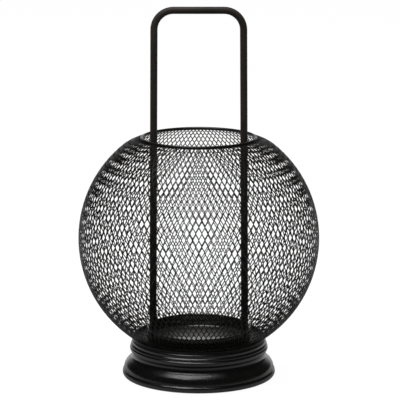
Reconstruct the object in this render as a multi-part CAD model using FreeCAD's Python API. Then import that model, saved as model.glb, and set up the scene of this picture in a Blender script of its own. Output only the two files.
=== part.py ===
"""Candle lantern: open mesh globe on a moulded round foot, with a bent rod handle.

Millimetres, +Z up. The origin is on the floor, at the centre of the foot.
The handle's legs stand on the X axis, so the front of the lantern looks along +Y.
"""

import FreeCAD, Part
import math
import os

V = FreeCAD.Vector
Z_AXIS = V(0, 0, 1)
ORIGIN = V(0, 0, 0)

# Shared values
sheet = 1.2
paint_gap = 0.3
cut_overrun = 2.0
full_turn = 360.0

# Felt pads
pad_count = 4
pad_diameter = 12.0
pad_height = 1.2

# Foot moulding, outer line from the floor up
foot_clearance = 0.3
foot_rim_radius = 89.4
band_radius = 90.3
band_mid_z = 2.8
band_shoulder_radius = 90.15
band_shoulder_z = 5.4
band_round_radius = 89.6
band_round_z = 7.0
band_top_radius = 88.4
band_top_z = 7.8
groove_radius = 88.1
groove_z = 8.7
bulge_start_radius = 89.6
bulge_start_z = 9.8
bulge_mid_radius = 87.2
bulge_mid_z = 15.9
bulge_top_radius = 81.7
bulge_top_z = 20.4
neck_radius = 78.0
neck_z = 25.6
lip_start_radius = 80.4
lip_start_z = 31.6
lip_radius = 81.6
lip_mid_z = 33.4
lip_top_radius = 80.3
lip_top_z = 35.1
lower_bead_radius = 80.9
lower_bead_mid_z = 36.6
lower_bead_top_radius = 79.6
lower_bead_top_z = 38.3
upper_bead_radius = 80.0
upper_bead_mid_z = 40.3
foot_top_radius = 78.2
foot_top_z = 42.9
flange_width = 8.0

# Deck plate with its round well
deck_overhang = 0.3
well_depth = 4.4

# Candle cup
cup_standing_height = 12.8
cup_rim_radius = 1.1
cup_leg_clearance = 0.4
stand_leg_clearance = 3.3
candle_stand_rise = 0.8

# Mesh globe
globe_radius = 140.9
mesh_thickness = 1.0
shoulder_latitude = 50.0
shoulder_radius = 50.0
rim_radius = 66.3
edge_ring_radius = 1.9
collar_stand = 1.3
openings_around = 36
opening_rows = 10
strand_width = 1.8
mesh_edge_width = 3.2
edge_share = 0.1
opening_reach_share = 0.08

# Handle
overall_height = 436.0
rod_diameter = 8.4
leg_spacing_foot = 108.6
leg_spacing_top = 103.0
handle_bend_radius = 22.5
tapped_depth = 16.0

# Handle screws and washers
screw_diameter = 5.0
screw_reach = 12.0
screw_head_diameter = 9.2
screw_head_height = 3.0
screw_slot_width = 1.2
screw_slot_depth = 1.4
washer_diameter = 11.0
washer_height = 1.0

# Heights and radii that follow
throat_radius = neck_radius - sheet
flange_radius = throat_radius - flange_width
deck_low_z = foot_top_z
deck_top_z = deck_low_z + sheet
deck_radius = foot_top_radius + deck_overhang
collar_radius = deck_radius - edge_ring_radius - paint_gap
collar_z = deck_top_z + collar_stand
globe_centre_z = collar_z + math.sqrt(globe_radius ** 2 - collar_radius ** 2)
well_floor_z = deck_top_z - well_depth
rod_radius = rod_diameter / 2
leg_foot_x = leg_spacing_foot / 2
leg_top_x = leg_spacing_top / 2
cup_inner_radius = leg_foot_x + rod_radius + cup_leg_clearance
cup_outer_radius = cup_inner_radius + sheet
candle_step_radius = leg_foot_x - rod_radius - stand_leg_clearance
candle_stand_radius = candle_step_radius - candle_stand_rise
well_radius = cup_outer_radius + paint_gap
cup_floor_z = well_floor_z + sheet
cup_top_z = deck_top_z + cup_standing_height
leg_foot_z = cup_floor_z + sheet
bar_z = overall_height - rod_radius
screw_hole_radius = screw_diameter / 2 + paint_gap
opening_inner_reach = globe_radius * (1 - opening_reach_share)
opening_outer_reach = globe_radius * (1 + opening_reach_share)


def ring_of(edges):
    """Spin a closed outline, drawn in the XZ plane, into a solid of revolution."""
    face = Part.Face(Part.Wire(edges))
    return face.revolve(ORIGIN, Z_AXIS, full_turn)


def at(radius, z):
    """Point of an outline at a radius and a height."""
    return V(radius, 0, z)


def line(start, end):
    return Part.LineSegment(start, end).toShape()


def arc(start, middle, end):
    return Part.Arc(start, middle, end).toShape()


def lines(points):
    return [line(a, b) for a, b in zip(points, points[1:])]


def base_shell():
    """Hollow moulded foot, with a flange turned in above the floor and one under the deck."""
    rim = at(foot_rim_radius, foot_clearance)
    band_shoulder = at(band_shoulder_radius, band_shoulder_z)
    band_top = at(band_top_radius, band_top_z)
    bulge_start = at(bulge_start_radius, bulge_start_z)
    bulge_top = at(bulge_top_radius, bulge_top_z)
    lip_start = at(lip_start_radius, lip_start_z)
    lip_top = at(lip_top_radius, lip_top_z)
    lower_bead_top = at(lower_bead_top_radius, lower_bead_top_z)
    foot_top = at(foot_top_radius, foot_top_z)
    outside = [
        arc(rim, at(band_radius, band_mid_z), band_shoulder),
        arc(band_shoulder, at(band_round_radius, band_round_z), band_top),
        arc(band_top, at(groove_radius, groove_z), bulge_start),
        arc(bulge_start, at(bulge_mid_radius, bulge_mid_z), bulge_top),
        arc(bulge_top, at(neck_radius, neck_z), lip_start),
        arc(lip_start, at(lip_radius, lip_mid_z), lip_top),
        arc(lip_top, at(lower_bead_radius, lower_bead_mid_z), lower_bead_top),
        arc(lower_bead_top, at(upper_bead_radius, upper_bead_mid_z), foot_top),
    ]
    rim_inner_radius = foot_rim_radius - sheet
    inside = [
        foot_top,
        at(flange_radius, foot_top_z),
        at(flange_radius, foot_top_z - sheet),
        at(throat_radius, foot_top_z - sheet),
        at(throat_radius, bulge_top_z + sheet),
        at(bulge_mid_radius - sheet, bulge_mid_z - sheet),
        at(groove_radius - sheet, groove_z),
        at(rim_inner_radius, pad_height + sheet),
        at(flange_radius, pad_height + sheet),
        at(flange_radius, pad_height),
        at(rim_inner_radius, pad_height),
        at(rim_inner_radius, foot_clearance),
        rim,
    ]
    return ring_of(outside + lines(inside))


def screw_positions(z):
    return [V(side * leg_foot_x, 0, z) for side in (-1, 1)]


def drill_screw_holes(body, low_z):
    for place in screw_positions(low_z - cut_overrun):
        body = body.cut(Part.makeCylinder(screw_hole_radius, sheet + 2 * cut_overrun, place))
    return body


def deck_plate():
    """Pressed plate on top of the foot, with a shallow well that locates the cup."""
    outline = [
        at(0, well_floor_z),
        at(well_radius + sheet, well_floor_z),
        at(well_radius + sheet, deck_low_z),
        at(deck_radius, deck_low_z),
        at(deck_radius, deck_top_z),
        at(well_radius, deck_top_z),
        at(well_radius, well_floor_z + sheet),
        at(0, well_floor_z + sheet),
        at(0, well_floor_z),
    ]
    return drill_screw_holes(ring_of(lines(outline)), well_floor_z)


def candle_cup():
    """Round cup with a rolled rim and a raised stand for the candle.

    The handle's legs stand on its floor, between the candle's stand and the wall.
    """
    rim_z = cup_top_z - cup_rim_radius
    rim_low = at(cup_outer_radius, rim_z - cup_rim_radius)
    rim_side = at(cup_outer_radius + cup_rim_radius, rim_z)
    rim_top = at(cup_outer_radius, cup_top_z)
    rim_inner = at(cup_inner_radius, rim_z)
    rim_turn = at(cup_inner_radius + paint_gap, cup_top_z - paint_gap)
    lower = [
        rim_inner,
        at(cup_inner_radius, leg_foot_z),
        at(candle_step_radius, leg_foot_z),
        at(candle_stand_radius, leg_foot_z + candle_stand_rise),
        at(0, leg_foot_z + candle_stand_rise),
        at(0, cup_floor_z + candle_stand_rise),
        at(candle_stand_radius, cup_floor_z + candle_stand_rise),
        at(candle_step_radius, cup_floor_z),
        at(cup_outer_radius, cup_floor_z),
        rim_low,
    ]
    outline = [arc(rim_low, rim_side, rim_top), arc(rim_top, rim_turn, rim_inner)]
    return drill_screw_holes(ring_of(outline + lines(lower)), cup_floor_z)


def globe_point(angle, offset):
    """Point of the globe's line at an angle from its equator, offset outwards."""
    limit = math.radians(shoulder_latitude)
    if angle <= limit:
        reach = globe_radius + offset
        return at(reach * math.cos(angle), globe_centre_z + reach * math.sin(angle))
    drop = globe_radius - shoulder_radius
    reach = shoulder_radius + offset
    radius = drop * math.cos(limit) + reach * math.cos(angle)
    return at(radius, globe_centre_z + drop * math.sin(limit) + reach * math.sin(angle))


def collar_angle():
    return -math.acos(collar_radius / globe_radius)


def rim_angle():
    limit = math.radians(shoulder_latitude)
    centre_radius = (globe_radius - shoulder_radius) * math.cos(limit)
    return math.acos((rim_radius - centre_radius) / shoulder_radius)


def globe_wall(half_thickness, extra_angle):
    """Spun wall of the globe, from the collar to the rim."""
    low = collar_angle() - extra_angle
    knee = math.radians(shoulder_latitude)
    high = rim_angle() + extra_angle
    angles = (low, (low + knee) / 2, knee, (knee + high) / 2, high)
    outer = [globe_point(angle, half_thickness) for angle in angles]
    inner = [globe_point(angle, -half_thickness) for angle in angles]
    edges = [
        arc(outer[0], outer[1], outer[2]),
        arc(outer[2], outer[3], outer[4]),
        line(outer[4], inner[4]),
        arc(inner[4], inner[3], inner[2]),
        arc(inner[2], inner[1], inner[0]),
        line(inner[0], outer[0]),
    ]
    return ring_of(edges)


def diamond(centre, azimuth, latitude, half_azimuth, down, up, reach):
    """Four corners of an opening, at one distance from the globe's centre."""
    corners = []
    for step_azimuth, step_latitude in ((half_azimuth, 0), (0, up), (-half_azimuth, 0), (0, -down)):
        turn = azimuth + step_azimuth
        rise = latitude + step_latitude
        flat = math.cos(rise)
        direction = V(flat * math.cos(turn), flat * math.sin(turn), math.sin(rise))
        corners.append(centre + direction * reach)
    return corners


def mesh_opening(azimuth, latitude, half_azimuth, down, up):
    """Block that narrows towards the globe's centre and cuts one diamond opening."""
    centre = V(0, 0, globe_centre_z)
    shape = (azimuth, latitude, half_azimuth, down, up)
    inner = diamond(centre, *shape, opening_inner_reach)
    outer = diamond(centre, *shape, opening_outer_reach)
    faces = []
    for a, b in ((0, 1), (1, 2), (2, 3), (3, 0)):
        side = [inner[a], inner[b], outer[b], outer[a], inner[a]]
        faces.append(Part.Face(Part.makePolygon(side)))
    for corners in (inner, outer):
        for a, b, c in ((0, 1, 2), (0, 2, 3)):
            half = [corners[a], corners[b], corners[c], corners[a]]
            faces.append(Part.Face(Part.makePolygon(half)))
    return Part.Solid(Part.Shell(faces))


def mesh_globe():
    """Globe wall with rows of diamond openings, every second row shifted by half a step.

    The first and last rows are half openings, cut off where the edge rings start.
    """
    half_azimuth = math.pi / openings_around
    low = collar_angle()
    top = globe_point(rim_angle(), 0)
    high = math.atan2(top.z - globe_centre_z, top.x)
    row_step = (high - low) / (opening_rows + 1)
    slant = math.atan2(half_azimuth, row_step)
    strand_latitude = strand_width / (2 * globe_radius * math.sin(slant))
    reach = row_step - strand_latitude
    hidden = mesh_edge_width / globe_radius
    cutters = []
    for row in range(opening_rows + 2):
        latitude = min(max(low + row * row_step, low + hidden), high - hidden)
        down, up = reach, reach
        if row == 0:
            down, up = edge_share * hidden, reach - hidden
        if row > opening_rows:
            down, up = reach - hidden, edge_share * hidden
        strand_azimuth = strand_width / (2 * globe_radius * math.cos(latitude) * math.cos(slant))
        for column in range(openings_around):
            azimuth = (2 * column + row % 2) * half_azimuth
            cutters.append(mesh_opening(azimuth, latitude, half_azimuth - strand_azimuth, down, up))
    return globe_wall(mesh_thickness / 2, 0).cut(Part.makeCompound(cutters))


def edge_ring(radius, z):
    """Round ring that grips the edge of the mesh in a slot."""
    ring = Part.makeTorus(radius, edge_ring_radius, at(0, z), Z_AXIS)
    return ring.cut(globe_wall(mesh_thickness / 2 + paint_gap, paint_gap / globe_radius))


def collar_ring():
    """Lower ring of the globe, flat where it stands on the deck plate."""
    ring = edge_ring(collar_radius, collar_z)
    block_height = edge_ring_radius + cut_overrun
    block_base = V(0, 0, deck_top_z - block_height)
    return ring.cut(Part.makeCylinder(collar_radius + block_height, block_height, block_base))


def rim_ring():
    """Upper ring around the open mouth of the globe."""
    return edge_ring(rim_radius, globe_point(rim_angle(), 0).z)


def handle():
    """One bent rod: two legs drawn in slightly towards the top, and a level bar."""
    lean = math.atan2(leg_foot_x - leg_top_x, bar_z - leg_foot_z)
    up = V(-math.sin(lean), 0, math.cos(lean))
    corner = at(leg_top_x, bar_z)
    turn = math.pi / 2 - lean
    tangent = handle_bend_radius * math.tan(turn / 2)
    bend_start = corner - up * tangent
    bend_end = corner - V(tangent, 0, 0)
    bend_centre = bend_end - V(0, 0, handle_bend_radius)
    bend_middle = bend_centre + (corner - bend_centre).normalize() * handle_bend_radius
    leg_start = at(leg_foot_x, leg_foot_z) - up * cut_overrun
    half = [leg_start, bend_start, bend_middle, bend_end]
    mirrored = [V(-point.x, 0, point.z) for point in half]
    path = Part.Wire([
        line(half[0], half[1]),
        arc(half[1], half[2], half[3]),
        line(half[3], mirrored[3]),
        arc(mirrored[3], mirrored[2], mirrored[1]),
        line(mirrored[1], mirrored[0]),
    ])
    section = Part.Wire(Part.makeCircle(rod_radius, leg_start, up))
    rod = path.makePipeShell([section], True, False)
    block_height = 2 * cut_overrun + rod_diameter
    block_base = V(0, 0, leg_foot_z - block_height)
    rod = rod.cut(Part.makeCylinder(leg_spacing_foot, block_height, block_base))
    for place in screw_positions(leg_foot_z - cut_overrun):
        rod = rod.cut(Part.makeCylinder(screw_hole_radius, tapped_depth + cut_overrun, place))
    return rod


def handle_washers():
    washers = []
    for place in screw_positions(well_floor_z - washer_height):
        disc = Part.makeCylinder(washer_diameter / 2, washer_height, place)
        hole_base = place - V(0, 0, cut_overrun)
        hole = Part.makeCylinder(screw_hole_radius, washer_height + 2 * cut_overrun, hole_base)
        washers.append(disc.cut(hole))
    return Part.makeCompound(washers)


def handle_screws():
    """Slotted screws driven up from below into the ends of the rod."""
    screws = []
    head_z = well_floor_z - washer_height - screw_head_height
    shank_top = leg_foot_z + screw_reach
    for place in screw_positions(head_z):
        head = Part.makeCylinder(screw_head_diameter / 2, screw_head_height, place)
        shank = Part.makeCylinder(screw_diameter / 2, shank_top - head_z, place)
        slot_corner = place - V(screw_head_diameter / 2, screw_slot_width / 2, cut_overrun)
        slot_height = screw_slot_depth + cut_overrun
        slot = Part.makeBox(screw_head_diameter, screw_slot_width, slot_height, slot_corner)
        screws.append(head.fuse(shank).cut(slot).removeSplitter())
    return Part.makeCompound(screws)


def felt_pad(index):
    """Round pad under the foot's lower flange, inside its rim."""
    angle = (2 * index + 1) * math.pi / pad_count
    reach = (foot_rim_radius - sheet + flange_radius) / 2
    place = V(reach * math.cos(angle), reach * math.sin(angle), 0)
    return Part.makeCylinder(pad_diameter / 2, pad_height, place)


def export(shape, name):
    shape.exportStep(os.path.join("parts", name + ".step"))


os.makedirs("parts", exist_ok=True)
export(base_shell(), "base_shell")
export(deck_plate(), "deck_plate")
export(candle_cup(), "candle_cup")
export(mesh_globe(), "mesh_globe")
export(collar_ring(), "collar_ring")
export(rim_ring(), "rim_ring")
export(handle(), "handle")
export(handle_washers(), "handle_washers")
export(handle_screws(), "handle_screws")
for index in range(pad_count):
    export(felt_pad(index), "felt_pad_" + str(index + 1))
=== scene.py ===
"""Dressed model of the candle lantern: painted steel foot, mesh globe, cup and rod handle."""

import math

import bpy
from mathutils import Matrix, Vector


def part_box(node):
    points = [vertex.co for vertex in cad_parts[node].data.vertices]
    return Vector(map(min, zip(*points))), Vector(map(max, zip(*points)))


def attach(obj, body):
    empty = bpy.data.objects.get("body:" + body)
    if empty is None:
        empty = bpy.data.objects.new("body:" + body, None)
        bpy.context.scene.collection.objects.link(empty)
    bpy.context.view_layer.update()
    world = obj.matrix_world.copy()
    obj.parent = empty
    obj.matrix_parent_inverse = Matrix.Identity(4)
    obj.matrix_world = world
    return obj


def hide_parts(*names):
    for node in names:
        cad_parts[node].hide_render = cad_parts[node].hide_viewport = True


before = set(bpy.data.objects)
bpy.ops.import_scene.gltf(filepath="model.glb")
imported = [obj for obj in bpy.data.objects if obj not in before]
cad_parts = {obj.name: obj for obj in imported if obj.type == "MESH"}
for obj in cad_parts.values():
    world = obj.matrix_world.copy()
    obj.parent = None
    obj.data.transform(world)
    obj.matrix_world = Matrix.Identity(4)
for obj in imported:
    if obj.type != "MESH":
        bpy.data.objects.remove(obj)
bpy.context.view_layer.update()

mm = 0.001
quarter_turn = math.pi / 2
full_turn = 2 * math.pi

# Foot, deck, cup and pads, as in the CAD model
sheet = 1.2 * mm
deck_top_z = 44.1 * mm
cup_floor_z = 40.9 * mm
stand_height = 2.4 * mm
pad_height = 1.2 * mm
pad_edge = 0.25 * mm
foot_steps = 256
sheet_steps = 192

# Globe
globe_radius = 140.9 * mm
shoulder_latitude = math.radians(50)
shoulder_radius = 50.0 * mm
rim_radius = 66.3 * mm
collar_radius = 76.3 * mm
collar_z = 45.4 * mm
globe_centre_z = collar_z + math.sqrt(globe_radius ** 2 - collar_radius ** 2)
diamonds_around = 120
half_rows = 38
strand_width = 1.00 * mm
strand_thickness = 0.70 * mm
strand_twist = 0.04 * mm
bond_length = 1.5 * mm

# Edge rings of the globe
ring_wire_radius = 1.9 * mm
ring_corners = 24
ring_half_gap = 0.42
ring_slot_depth = 0.3 * ring_wire_radius
ring_slot_turn = 1.0

# Handle and its screw holes
overall_height = 436.0 * mm
rod_radius = 4.2 * mm
rod_sides = 32
leg_foot_x = 54.3 * mm
leg_top_x = 51.5 * mm
leg_foot_z = cup_floor_z + sheet
leg_steps = 24
bar_steps = 8
bend_radius = 22.5 * mm
bend_steps = 16
screw_hole_radius = 2.8 * mm
screw_hole_sides = 32
tapped_depth = 16.0 * mm
drill_turn = math.radians(4)

# Camera
sensor_width = 36.0
camera_lens = 199.6
camera_distance = 2.595
camera_pitch = math.radians(11.51)
camera_aim_x = 0.0014
camera_aim_z = 0.2092

# Floor and light
floor_size = 12
floor_shade = 0.12
floor_roughness = 0.8
floor_glow = 0.905
# Floor brightness seen in reflections, by place from front to back: a painted shadow just in front
# of the lantern, and a painted glow behind it.
floor_mirrored = ((-0.7, 0.42), (-0.2, 0.04), (-0.14, 0.04), (-0.1, 0.27), (0.0, 0.2), (0.4, 1.0))
room_light = 0.70
front_glow = 0.01
back_glow = 1.0
glow_start = 0.83
glow_full = 0.97
key_place = (-0.33, -0.22, 1.95)
key_target = (0, 0, 0.02)
key_size = (1.1, 1.35)
key_power = 39


def start_piece():
    """Leave edit mode and let go of everything, so that an operator acts on the new piece alone."""
    if bpy.context.mode != "OBJECT":
        bpy.ops.object.mode_set(mode="OBJECT")
    bpy.ops.object.select_all(action="DESELECT")


def finish_piece(name, node, material, smooth_angle=30):
    """Name the piece being shaped, smooth it, paint it and put it on its body."""
    bpy.ops.object.mode_set(mode="OBJECT")
    piece = bpy.context.object
    piece.name = name
    piece.data.name = name
    bpy.ops.object.transform_apply(location=True, rotation=True, scale=True)
    bpy.ops.object.shade_smooth_by_angle(angle=math.radians(smooth_angle))
    piece.data.materials.clear()
    piece.data.materials.append(material)
    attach(piece, "root")
    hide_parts(node)


def close_skin():
    """Merge doubled points and turn every face outwards."""
    bpy.ops.mesh.select_all(action="SELECT")
    bpy.ops.mesh.remove_doubles(threshold=0.01 * mm)
    bpy.ops.mesh.normals_make_consistent(inside=False)


def in_mm(points):
    """An outline written in millimetres, in metres."""
    return [(radius * mm, z * mm) for radius, z in points]


def arc_points(start, middle, end, steps):
    """Points along the arc through three points of an outline, without the first one."""
    (ax, ay), (bx, by), (cx, cy) = start, middle, end
    d = 2 * (ax * (by - cy) + bx * (cy - ay) + cx * (ay - by))
    a2, b2, c2 = ax * ax + ay * ay, bx * bx + by * by, cx * cx + cy * cy
    ux = (a2 * (by - cy) + b2 * (cy - ay) + c2 * (ay - by)) / d
    uy = (a2 * (cx - bx) + b2 * (ax - cx) + c2 * (bx - ax)) / d
    radius = math.hypot(ax - ux, ay - uy)
    first = math.atan2(ay - uy, ax - ux)
    halfway = math.atan2(by - uy, bx - ux)
    last = math.atan2(cy - uy, cx - ux)
    sweep = (last - first) % full_turn
    if (halfway - first) % full_turn > sweep:
        sweep -= full_turn
    turns = [first + sweep * index / steps for index in range(1, steps + 1)]
    return [(ux + radius * math.cos(turn), uy + radius * math.sin(turn)) for turn in turns]


def draw_outline(points):
    """Draw an outline of (radius, height) points as a chain of edges in edit mode."""
    start_piece()
    bpy.ops.mesh.primitive_plane_add(size=mm)
    bpy.ops.object.mode_set(mode="EDIT")
    bpy.ops.mesh.select_mode(type="VERT")
    bpy.ops.mesh.merge(type="CENTER")
    here = Vector((0, 0, 0))
    for index, (radius, z) in enumerate(points):
        there = Vector((radius, 0, z))
        if index == 0:
            bpy.ops.transform.translate(value=there - here)
        else:
            bpy.ops.mesh.extrude_vertices_move(TRANSFORM_OT_translate={"value": there - here})
        here = there


def turn_outline(points, steps):
    """Spin an outline round the lantern's axis."""
    draw_outline(points)
    bpy.ops.mesh.select_all(action="SELECT")
    bpy.ops.mesh.spin(steps=steps, angle=full_turn, center=(0, 0, 0), axis=(0, 0, 1))
    close_skin()


def drill_screw_holes(low_z):
    """Cut the two screw holes, under the handle's legs, through a sheet that starts at a height.

    The drill is turned a little, so that its corners miss the sheet's seam.
    """
    bpy.ops.object.mode_set(mode="OBJECT")
    piece = bpy.context.object
    for side in (-1, 1):
        bpy.ops.object.select_all(action="DESELECT")
        bpy.ops.mesh.primitive_cylinder_add(
            vertices=screw_hole_sides,
            radius=screw_hole_radius,
            depth=2 * sheet,
            location=(side * leg_foot_x, 0, low_z + sheet / 2),
            rotation=(0, 0, drill_turn),
        )
        drill = bpy.context.object
        drill.select_set(False)
        piece.select_set(True)
        bpy.context.view_layer.objects.active = piece
        cut = piece.modifiers.new("screw_hole", "BOOLEAN")
        cut.object = drill
        cut.solver = "EXACT"
        bpy.ops.object.modifier_apply(modifier=cut.name)
        bpy.data.objects.remove(drill)


# Materials

def new_material(name):
    """A new material, with its nodes, its shader and a point's place on the piece."""
    material = bpy.data.materials.new(name)
    material.use_nodes = True
    tree = material.node_tree
    return material, tree, tree.nodes["Principled BSDF"], own_place(tree)


def own_place(tree):
    """A point's place on its own piece."""
    return tree.nodes.new("ShaderNodeTexCoord").outputs["Object"]


def split_place(tree, place):
    """X, Y and Z of a place or a direction."""
    node = tree.nodes.new("ShaderNodeSeparateXYZ")
    tree.links.new(place, node.inputs["Vector"])
    return node.outputs


def around_axis(tree, place):
    """Radius and height of a point, for marks that run round the piece."""
    parts = split_place(tree, place)
    flat = tree.nodes.new("ShaderNodeCombineXYZ")
    tree.links.new(parts["X"], flat.inputs["X"])
    tree.links.new(parts["Y"], flat.inputs["Y"])
    length = tree.nodes.new("ShaderNodeVectorMath")
    length.operation = "LENGTH"
    tree.links.new(flat.outputs["Vector"], length.inputs[0])
    joined = tree.nodes.new("ShaderNodeCombineXYZ")
    tree.links.new(length.outputs["Value"], joined.inputs["X"])
    tree.links.new(parts["Z"], joined.inputs["Z"])
    return joined.outputs["Vector"]


def noise(tree, place, scale, detail, stretch=None):
    """Noise on the piece's own coordinates, stretched along its axes if asked."""
    if stretch:
        mapping = tree.nodes.new("ShaderNodeMapping")
        mapping.inputs["Scale"].default_value = stretch
        tree.links.new(place, mapping.inputs["Vector"])
        place = mapping.outputs["Vector"]
    texture = tree.nodes.new("ShaderNodeTexNoise")
    texture.inputs["Scale"].default_value = scale
    texture.inputs["Detail"].default_value = detail
    tree.links.new(place, texture.inputs["Vector"])
    return texture.outputs["Fac"]


def spread(tree, value, low, high, from_low=0.3, from_high=0.7):
    """Carry a value over from one range to another. Noise lies mostly between 0.3 and 0.7."""
    node = tree.nodes.new("ShaderNodeMapRange")
    node.inputs["From Min"].default_value = from_low
    node.inputs["From Max"].default_value = from_high
    node.inputs["To Min"].default_value = low
    node.inputs["To Max"].default_value = high
    tree.links.new(value, node.inputs["Value"])
    return node.outputs["Result"]


def multiply(tree, first, second):
    """Product of two values."""
    node = tree.nodes.new("ShaderNodeMath")
    node.operation = "MULTIPLY"
    tree.links.new(first, node.inputs[0])
    tree.links.new(second, node.inputs[1])
    return node.outputs["Value"]


def blend_colours(tree, share, first, second):
    """The first colour where share is 0, and the second where it is 1."""
    node = tree.nodes.new("ShaderNodeMix")
    node.data_type = "RGBA"
    node.inputs["A"].default_value = (*first, 1)
    node.inputs["B"].default_value = (*second, 1)
    tree.links.new(share, node.inputs["Factor"])
    return node.outputs["Result"]


def bump(tree, shader, height, distance, strength=1.0, under=None):
    """Raise and sink the surface a little, on top of another bump if one is given."""
    node = tree.nodes.new("ShaderNodeBump")
    node.inputs["Strength"].default_value = strength
    node.inputs["Distance"].default_value = distance
    tree.links.new(height, node.inputs["Height"])
    if under:
        tree.links.new(under, node.inputs["Normal"])
    tree.links.new(node.outputs["Normal"], shader.inputs["Normal"])
    return node.outputs["Normal"]


def black_paint(name, shade, roughness, gloss, peel_size, peel_depth, turned):
    """Satin black paint: cloudy colour, uneven gloss, slight orange peel, and turning marks."""
    material, tree, shader, place = new_material(name)
    cloud = spread(tree, noise(tree, place, scale=18, detail=4), 0, 1)
    dark = tuple(0.75 * c for c in shade)
    light = tuple(1.45 * c for c in shade)
    tree.links.new(blend_colours(tree, cloud, dark, light), shader.inputs["Base Color"])
    smear = noise(tree, place, scale=45, detail=5)
    dullness = spread(tree, smear, 0.85 * roughness, 1.2 * roughness)
    tree.links.new(dullness, shader.inputs["Roughness"])
    shader.inputs["IOR"].default_value = 1.5
    shader.inputs["Specular IOR Level"].default_value = gloss
    peel = noise(tree, place, scale=1 / peel_size, detail=2)
    normal = bump(tree, shader, peel, peel_depth)
    if turned:
        rings = noise(tree, around_axis(tree, place), scale=900, detail=2)
        bump(tree, shader, rings, 0.15 * peel_depth, 0.4, normal)
    return material


def lay_over(material, share, shade):
    """Lay a colour over a paint, as far as share says."""
    tree = material.node_tree
    shader = tree.nodes["Principled BSDF"]
    clean = shader.inputs["Base Color"].links[0].from_socket
    node = tree.nodes.new("ShaderNodeMix")
    node.data_type = "RGBA"
    node.inputs["B"].default_value = (*shade, 1)
    tree.links.new(share, node.inputs["Factor"])
    tree.links.new(clean, node.inputs["A"])
    tree.links.new(node.outputs["Result"], shader.inputs["Base Color"])


def paint_cup_floor_light(material, shade, height, full_radius, fade_radius, faded_share):
    """Painted light: a paler grey laid over the paint below a height, strongest near the axis and
    fading outwards, where light falls on the cup's floor.
    """
    tree = material.node_tree
    parts = split_place(tree, around_axis(tree, own_place(tree)))
    below = spread(tree, parts["Z"], 1, 0, height, height + mm)
    inwards = spread(tree, parts["X"], 1, faded_share, full_radius, fade_radius)
    lay_over(material, multiply(tree, below, inwards), shade)


def shade_rod_low_down(material, shade, low_z, high_z):
    """Painted shade on the paint, where the globe's mesh shades the legs: full below low_z, and
    fading out up to high_z.
    """
    tree = material.node_tree
    parts = split_place(tree, own_place(tree))
    lay_over(material, spread(tree, parts["Z"], 1, 0, low_z, high_z), shade)


def zinc_plate():
    """Bright plated steel with fine rubbing marks, for the screws and washers."""
    material, tree, shader, place = new_material("zinc_plate")
    shader.inputs["Metallic"].default_value = 1.0
    cloud = spread(tree, noise(tree, place, scale=160, detail=4), 0, 1)
    colour = blend_colours(tree, cloud, (0.42, 0.42, 0.40), (0.62, 0.62, 0.60))
    tree.links.new(colour, shader.inputs["Base Color"])
    dullness = spread(tree, noise(tree, place, scale=420, detail=3), 0.28, 0.45)
    tree.links.new(dullness, shader.inputs["Roughness"])
    rubbing = noise(tree, place, scale=900, detail=3, stretch=(1, 8, 1))
    bump(tree, shader, rubbing, 0.02 * mm)
    return material


def pressed_felt():
    """Black pressed felt with a loose nap."""
    material, tree, shader, place = new_material("pressed_felt")
    fibre = noise(tree, place, scale=1400, detail=6, stretch=(1, 1, 3))
    shares = spread(tree, fibre, 0, 1)
    colour = blend_colours(tree, shares, (0.012, 0.012, 0.013), (0.05, 0.05, 0.052))
    tree.links.new(colour, shader.inputs["Base Color"])
    shader.inputs["Roughness"].default_value = 0.95
    shader.inputs["Sheen Weight"].default_value = 0.4
    shader.inputs["Sheen Roughness"].default_value = 0.5
    bump(tree, shader, fibre, 0.25 * mm)
    return material


foot_paint = black_paint(
    "foot_paint",
    shade=(0.0044, 0.0042, 0.0039),
    roughness=0.23,
    gloss=0.8,
    peel_size=1.6 * mm,
    peel_depth=0.001 * mm,
    turned=True,
)
inner_paint = black_paint(
    "inner_paint",
    shade=(0.0050, 0.0048, 0.0044),
    roughness=0.10,
    gloss=0.8,
    peel_size=1.4 * mm,
    peel_depth=0.001 * mm,
    turned=True,
)
# Painted light on the cup's floor: paler grey near the middle, fading towards the wall.
paint_cup_floor_light(
    inner_paint,
    shade=(0.110, 0.108, 0.104),
    height=cup_floor_z + stand_height,
    full_radius=20 * mm,
    fade_radius=46 * mm,
    faded_share=0.15,
)
rod_paint = black_paint(
    "rod_paint",
    shade=(0.0190, 0.0160, 0.0130),
    roughness=0.55,
    gloss=0.15,
    peel_size=1.1 * mm,
    peel_depth=0.002 * mm,
    turned=False,
)
# Painted shade: the legs darken downwards inside the globe, where its mesh shades them.
shade_rod_low_down(rod_paint, shade=(0.0060, 0.0052, 0.0045), low_z=130 * mm, high_z=300 * mm)
mesh_paint = black_paint(
    "mesh_paint",
    shade=(0.0045, 0.0039, 0.0034),
    roughness=0.30,
    gloss=0.14,
    peel_size=0.6 * mm,
    peel_depth=0.002 * mm,
    turned=False,
)
ring_paint = black_paint(
    "ring_paint",
    shade=(0.0045, 0.0042, 0.0039),
    roughness=0.32,
    gloss=0.3,
    peel_size=1.0 * mm,
    peel_depth=0.002 * mm,
    turned=False,
)
zinc = zinc_plate()
felt = pressed_felt()


# Foot

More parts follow.
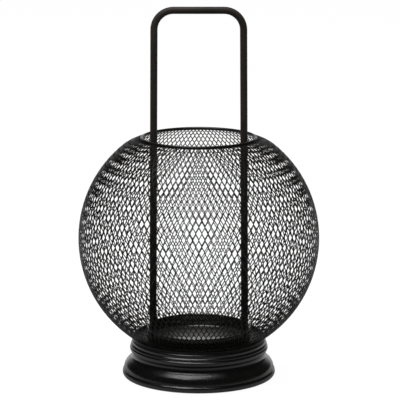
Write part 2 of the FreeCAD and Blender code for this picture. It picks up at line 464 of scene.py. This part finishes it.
def foot_outline():
    """Outer line of the foot from the floor up, then back down its hollow inside."""
    rim = (89.2, 0.5)
    band_side = (90.3, 3.8)
    band_slope = (89.95, 5.8)
    groove_start = (88.5, 7.1)
    bulge_start = (88.6, 9.2)
    slope_start = (85.7, 15.9)
    slope_end = (82.0, 19.4)
    neck = (78.2, 25.6)
    lip_start = (79.6, 28.4)
    lip_slope = (81.5, 33.7)
    lower_bead = (80.2, 35.0)
    lower_slope = (80.75, 36.8)
    upper_bead = (79.0, 38.5)
    upper_slope = (79.15, 41.6)
    points = [(88.2, 0.3), (89.0, 0.3), rim]
    points += arc_points(rim, (90.1, 1.9), band_side, 8)
    points += arc_points(band_side, (90.23, 4.9), band_slope, 8)
    points += [(89.25, 6.45), groove_start]
    points += arc_points(groove_start, (88.15, 8.1), bulge_start, 8)
    points += arc_points(bulge_start, (87.65, 12.7), slope_start, 20)
    points += arc_points(slope_start, (83.85, 17.75), slope_end, 8)
    points += arc_points(slope_end, (79.1, 22.3), neck, 16)
    points += arc_points(neck, (78.5, 27.1), lip_start, 8)
    points += arc_points(lip_start, (81.5, 31.3), lip_slope, 16)
    points += [(80.9, 34.2), (80.4, 34.75), lower_bead]
    points += arc_points(lower_bead, (80.8, 35.8), lower_slope, 10)
    points += [(80.1, 37.45), (79.4, 38.15), upper_bead]
    points += arc_points(upper_bead, (79.4, 40.0), upper_slope, 12)
    points += [(78.6, 42.15), (78.1, 42.7), (77.9, 42.9)]
    top_flange = [(69.0, 42.9), (68.8, 42.7), (68.8, 41.9), (69.0, 41.7), (76.8, 41.7)]
    hollow = [(76.8, 21.6), (86.0, 14.7), (86.9, 8.7), (88.2, 2.4)]
    foot_flange = [(69.0, 2.4), (68.8, 2.2), (68.8, 1.4), (69.0, 1.2), (88.0, 1.2)]
    points += top_flange + hollow + foot_flange + [(88.2, 1.0), (88.2, 0.5)]
    return in_mm(points + points[:1])


turn_outline(foot_outline(), foot_steps)
finish_piece("foot_moulding", "base_shell", foot_paint)


# Deck plate

def deck_outline():
    """Flat plate with a well in the middle, and a rounded outer edge."""
    points = [(0.0, 39.7), (61.0, 39.7)]
    points += arc_points((61.0, 39.7), (61.4, 39.9), (61.6, 40.3), 4)
    points += [(61.6, 42.4), (61.8, 42.8), (62.2, 42.9), (78.2, 42.9)]
    points += arc_points((78.2, 42.9), (78.5, 43.5), (78.2, 44.1), 6)
    points += [(61.4, 44.1)]
    points += arc_points((61.4, 44.1), (60.7, 43.8), (60.4, 43.1), 5)
    points += [(60.4, 41.3), (60.2, 41.0), (59.9, 40.9), (0.0, 40.9)]
    return in_mm(points)


turn_outline(deck_outline(), sheet_steps)
drill_screw_holes(cup_floor_z - sheet)
finish_piece("deck", "deck_plate", ring_paint)


# Candle cup

def cup_outline():
    """Round cup with a rolled rim, a softly rounded foot and a raised stand for the candle."""
    points = [(0.0, 41.7), (45.8, 41.7), (46.3, 41.6), (47.0, 41.0), (47.5, 40.9), (58.6, 40.9)]
    points += arc_points((58.6, 40.9), (59.7, 41.4), (60.1, 42.4), 6)
    points += [(60.1, 54.7)]
    points += arc_points((60.1, 54.7), (61.2, 55.8), (60.1, 56.9), 10)
    points += arc_points((60.1, 56.9), (59.2, 56.6), (58.9, 55.8), 6)
    points += [(58.9, 43.6)]
    points += arc_points((58.9, 43.6), (58.5, 42.5), (57.4, 42.1), 6)
    points += [(47.2, 42.1), (46.7, 42.2), (46.0, 42.8), (45.5, 42.9), (0.0, 42.9)]
    return in_mm(points)


turn_outline(cup_outline(), sheet_steps)
drill_screw_holes(cup_floor_z)
finish_piece("cup", "candle_cup", inner_paint)


# Mesh globe

def globe_line(angle):
    """Radius and height on the globe's line, at an angle from its equator."""
    if angle <= shoulder_latitude:
        return globe_radius * math.cos(angle), globe_centre_z + globe_radius * math.sin(angle)
    drop = globe_radius - shoulder_radius
    radius = drop * math.cos(shoulder_latitude) + shoulder_radius * math.cos(angle)
    z = globe_centre_z + drop * math.sin(shoulder_latitude) + shoulder_radius * math.sin(angle)
    return radius, z


def globe_length(angle):
    """Length along the globe's line from its equator."""
    if angle <= shoulder_latitude:
        return globe_radius * angle
    return globe_radius * shoulder_latitude + shoulder_radius * (angle - shoulder_latitude)


def angle_at(length):
    """Angle from the equator, at a length along the globe's line."""
    knee = globe_radius * shoulder_latitude
    if length <= knee:
        return length / globe_radius
    return shoulder_latitude + (length - knee) / shoulder_radius


collar_angle = -math.acos(collar_radius / globe_radius)
shoulder_centre = (globe_radius - shoulder_radius) * math.cos(shoulder_latitude)
rim_angle = math.acos((rim_radius - shoulder_centre) / shoulder_radius)


def form_over_globe():
    """Form a flat sheet, one unit wide for each opening, over the globe."""
    for vertex in bpy.context.object.data.vertices:
        angle = angle_at(vertex.co.z)
        turn = full_turn * vertex.co.x / diamonds_around
        radius, z = globe_line(angle)
        vertex.co = (radius * math.sin(turn), -radius * math.cos(turn), z)


def outward_at(point):
    """Direction straight out of the globe's wall."""
    angle = math.atan2(point.z - globe_centre_z, math.hypot(point.x, point.y))
    turn = math.atan2(point.y, point.x)
    flat = math.cos(angle)
    return Vector((flat * math.cos(turn), flat * math.sin(turn), math.sin(angle)))


def tilt_strands():
    """Push each opening's lower edge out and its upper edge in, as stretched slits stand."""
    bpy.ops.object.mode_set(mode="OBJECT")
    mesh = bpy.context.object.data
    for face in mesh.polygons:
        if not face.select:
            continue
        corners = [mesh.vertices[index] for index in face.vertices]
        middle = sum((corner.co for corner in corners), Vector()) / len(corners)
        for corner in corners:
            side = -1 if corner.co.z > middle.z else 1
            corner.co += side * strand_twist * outward_at(corner.co)
    bpy.ops.object.mode_set(mode="EDIT")


def add_opening(middle_z, half_height):
    """One stretched slit as a flat six-sided face, with short bonds at its sides."""
    bpy.ops.mesh.primitive_circle_add(vertices=6, radius=1, fill_type="NGON")
    bpy.ops.object.mode_set(mode="EDIT")
    bpy.ops.transform.rotate(value=quarter_turn, orient_axis="X", center_override=(0, 0, 0))
    bpy.ops.object.mode_set(mode="OBJECT")
    for vertex in bpy.context.object.data.vertices:
        at_tip = abs(vertex.co.x) < 0.1
        side = 0 if at_tip else math.copysign(0.5, vertex.co.x)
        rise = half_height - bond_length / 2 if at_tip else bond_length / 2
        vertex.co = (side, 0, middle_z + math.copysign(rise, vertex.co.z))


def make_mesh_globe():
    """Expanded mesh: one slit opening is repeated to a sheet, formed over the globe and cut out."""
    start = globe_length(collar_angle)
    row = (globe_length(rim_angle) - start) / half_rows
    start_piece()
    add_opening(start + row, row)
    globe = bpy.context.object
    for count, offset in ((diamonds_around, (1, 0, 0)), (half_rows - 1, (0.5, 0, row))):
        repeat = globe.modifiers.new("repeat", "ARRAY")
        repeat.count = count
        repeat.use_relative_offset = False
        repeat.use_constant_offset = True
        repeat.constant_offset_displace = offset
        bpy.ops.object.modifier_apply(modifier=repeat.name)
    form_over_globe()
    bpy.ops.object.mode_set(mode="EDIT")
    close_skin()
    bpy.ops.mesh.select_mode(type="FACE")
    bpy.ops.mesh.select_all(action="SELECT")
    bpy.ops.mesh.inset(thickness=strand_width / 2, use_individual=True, use_boundary=True)
    tilt_strands()
    bpy.ops.mesh.delete(type="FACE")
    bpy.ops.object.mode_set(mode="OBJECT")
    thicken = globe.modifiers.new("thicken", "SOLIDIFY")
    thicken.thickness = strand_thickness
    thicken.offset = 0
    bpy.ops.object.modifier_apply(modifier=thicken.name)
    finish_piece("globe_mesh", "mesh_globe", mesh_paint)


make_mesh_globe()


# Edge rings of the globe

def ring_outline(angle, sense, flat_z=None):
    """Round edge ring with a slot for the mesh, which leaves it upwards (1) or downwards (-1)."""
    radius, z = globe_line(angle)
    along = angle + sense * quarter_turn
    points = []
    for index in range(ring_corners + 1):
        turn = along + ring_half_gap + (full_turn - 2 * ring_half_gap) * index / ring_corners
        x = radius + ring_wire_radius * math.cos(turn)
        y = z + ring_wire_radius * math.sin(turn)
        points.append((x, max(y, flat_z) if flat_z else y))
    for turn in (along - ring_slot_turn, along + ring_slot_turn):
        x = radius + ring_slot_depth * math.cos(turn)
        y = z + ring_slot_depth * math.sin(turn)
        points.append((x, y))
    return points + points[:1]


turn_outline(ring_outline(rim_angle, -1), sheet_steps)
finish_piece("rim", "rim_ring", ring_paint)

turn_outline(ring_outline(collar_angle, 1, deck_top_z), sheet_steps)
finish_piece("collar", "collar_ring", ring_paint)


# Handle

def push_rod(step, count):
    """Draw the rod's end on along a step, in a count of short lengths."""
    for _ in range(count):
        bpy.ops.mesh.extrude_region_move(TRANSFORM_OT_translate={"value": step / count})


def bend_rod(centre, angle):
    """Bend the rod on round a centre, in the handle's plane."""
    bpy.ops.mesh.spin(steps=bend_steps, angle=angle, center=centre, axis=(0, -1, 0))


def select_ends(height):
    """Select the rod's flat end faces, which lie at the legs' foot."""
    bpy.ops.mesh.select_all(action="DESELECT")
    bpy.ops.object.mode_set(mode="OBJECT")
    for face in bpy.context.object.data.polygons:
        face.select = len(face.vertices) > 4 and abs(face.center.z - height) < mm
    bpy.ops.object.mode_set(mode="EDIT")


def drill_ends(depth):
    """Open a screw's hole in each end face that is selected."""
    bpy.ops.mesh.inset(thickness=rod_radius - screw_hole_radius)
    bpy.ops.mesh.extrude_region_move(TRANSFORM_OT_translate={"value": Vector((0, 0, depth))})


def make_handle():
    """One rod: up the left leg, round the bend, along the bar and down the right leg."""
    bar_z = overall_height - rod_radius
    lean = math.atan2(leg_foot_x - leg_top_x, bar_z - leg_foot_z)
    up = Vector((math.sin(lean), 0, math.cos(lean)))
    down = Vector((up.x, 0, -up.z))
    tangent = bend_radius * math.tan((quarter_turn - lean) / 2)
    corner = Vector((-leg_top_x, 0, bar_z))
    foot = Vector((-leg_foot_x, 0, leg_foot_z))
    bend_start = corner - up * tangent
    bend_end = corner + Vector((tangent, 0, 0))
    start_piece()
    bpy.ops.mesh.primitive_circle_add(
        vertices=rod_sides,
        radius=rod_radius,
        fill_type="NGON",
        location=foot,
        rotation=(0, lean, 0),
    )
    bpy.ops.object.mode_set(mode="EDIT")
    bpy.ops.mesh.select_mode(type="FACE")
    bpy.ops.mesh.select_all(action="SELECT")
    push_rod(bend_start - foot, leg_steps)
    bend_rod(bend_end - Vector((0, 0, bend_radius)), quarter_turn - lean)
    push_rod(Vector((-2 * bend_end.x, 0, 0)), bar_steps)
    bend_rod(Vector((-bend_end.x, 0, bend_end.z - bend_radius)), quarter_turn - lean)
    push_rod(down * (bend_start - foot).length, leg_steps)
    close_skin()
    select_ends(leg_foot_z)
    drill_ends(tapped_depth)
    finish_piece("rod_handle", "handle", rod_paint)


make_handle()


# Felt pads

def make_pad(name, node):
    """Pressed felt disc with soft edges."""
    low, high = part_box(node)
    start_piece()
    bpy.ops.mesh.primitive_cylinder_add(
        vertices=48,
        radius=(high[0] - low[0]) / 2,
        depth=pad_height,
        location=(Vector(low) + Vector(high)) / 2,
    )
    bpy.ops.object.mode_set(mode="EDIT")
    bpy.ops.mesh.select_all(action="SELECT")
    bpy.ops.mesh.bevel(offset=pad_edge, segments=3)
    finish_piece(name, node, felt, 40)


for index in range(1, 5):
    make_pad("felt_disc_" + str(index), "felt_pad_" + str(index))


# Screws and washers keep their own shape

for node in ("handle_screws", "handle_washers"):
    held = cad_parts[node]
    held.data.materials.clear()
    held.data.materials.append(zinc)


# Floor, light and camera

def light_path(tree):
    """What kind of ray looks at the surface."""
    return tree.nodes.new("ShaderNodeLightPath").outputs


def mirrored_floor(tree, place):
    """How bright the floor looks in the paint's reflections, from its front to its back: a painted
    shadow just in front of the lantern, and a painted glow behind it.
    """
    reach = spread(tree, split_place(tree, place)["Y"], 0, 1, -1, 1)
    ramp = tree.nodes.new("ShaderNodeValToRGB")
    stops = ramp.color_ramp.elements
    for index, (y, level) in enumerate(floor_mirrored):
        position = (y + 1) / 2
        stop = stops.new(position) if index else stops[0]
        stop.position = position
        stop.color = (level, level, level, 1)
    stops.remove(stops[len(stops) - 1])
    tree.links.new(reach, ramp.inputs["Fac"])
    return ramp.outputs["Color"]


def make_floor():
    """Pale floor: white to the camera apart from the lantern's soft shadow."""
    start_piece()
    bpy.ops.mesh.primitive_plane_add(size=floor_size, location=(0, 0, 0))
    floor = bpy.context.object
    floor.name = "floor"
    material, tree, shader, place = new_material("pale_floor")
    shader.inputs["Base Color"].default_value = (floor_shade, floor_shade, floor_shade, 1)
    shader.inputs["Roughness"].default_value = floor_roughness
    shader.inputs["Specular IOR Level"].default_value = 0.0
    shader.inputs["Emission Color"].default_value = (1, 1, 1, 1)
    path = light_path(tree)
    mirrored = multiply(tree, path["Is Glossy Ray"], mirrored_floor(tree, place))
    seen = tree.nodes.new("ShaderNodeMath")
    seen.operation = "MULTIPLY_ADD"
    seen.inputs[1].default_value = floor_glow
    tree.links.new(path["Is Camera Ray"], seen.inputs[0])
    tree.links.new(mirrored, seen.inputs[2])
    tree.links.new(seen.outputs["Value"], shader.inputs["Emission Strength"])
    floor.data.materials.append(material)


def make_world():
    """White to the camera. Reflections see it bright behind, and dark in front and at the sides."""
    world = bpy.data.worlds.new("studio")
    bpy.context.scene.world = world
    world.use_nodes = True
    tree = world.node_tree
    plain = tree.nodes["Background"]
    plain.inputs["Color"].default_value = (1, 1, 1, 1)
    path = light_path(tree)
    direction = tree.nodes.new("ShaderNodeTexCoord").outputs["Generated"]
    behind = split_place(tree, direction)["Y"]
    mirrored = spread(tree, behind, front_glow, back_glow, glow_start, glow_full)
    level = tree.nodes.new("ShaderNodeMix")
    level.inputs["A"].default_value = room_light
    tree.links.new(path["Is Glossy Ray"], level.inputs["Factor"])
    tree.links.new(mirrored, level.inputs["B"])
    white = tree.nodes.new("ShaderNodeMix")
    white.inputs["B"].default_value = 1.0
    tree.links.new(path["Is Camera Ray"], white.inputs["Factor"])
    tree.links.new(level.outputs["Result"], white.inputs["A"])
    tree.links.new(white.outputs["Result"], plain.inputs["Strength"])


def make_lamp(name, place, target, size, power):
    """A softbox at a place, turned to a target."""
    data = bpy.data.lights.new(name, "AREA")
    data.shape = "RECTANGLE"
    data.size, data.size_y = size
    data.energy = power
    lamp = bpy.data.objects.new(name, data)
    lamp.location = place
    aim = Vector(target) - Vector(place)
    lamp.rotation_euler = aim.to_track_quat("-Z", "Y").to_euler()
    bpy.context.scene.collection.objects.link(lamp)


def make_camera():
    """Camera at the photograph's angle, level, square to the front and aimed at the middle."""
    data = bpy.data.cameras.new("camera")
    data.sensor_width = sensor_width
    data.lens = camera_lens
    camera = bpy.data.objects.new("camera", data)
    back = camera_distance * math.cos(camera_pitch)
    rise = camera_distance * math.sin(camera_pitch)
    camera.location = (camera_aim_x, -back, camera_aim_z + rise)
    camera.rotation_euler = (quarter_turn - camera_pitch, 0, 0)
    bpy.context.scene.collection.objects.link(camera)
    bpy.context.scene.camera = camera


make_floor()
make_world()
make_lamp("key", key_place, key_target, key_size, key_power)
make_camera()
bpy.context.scene.view_settings.view_transform = "Standard"
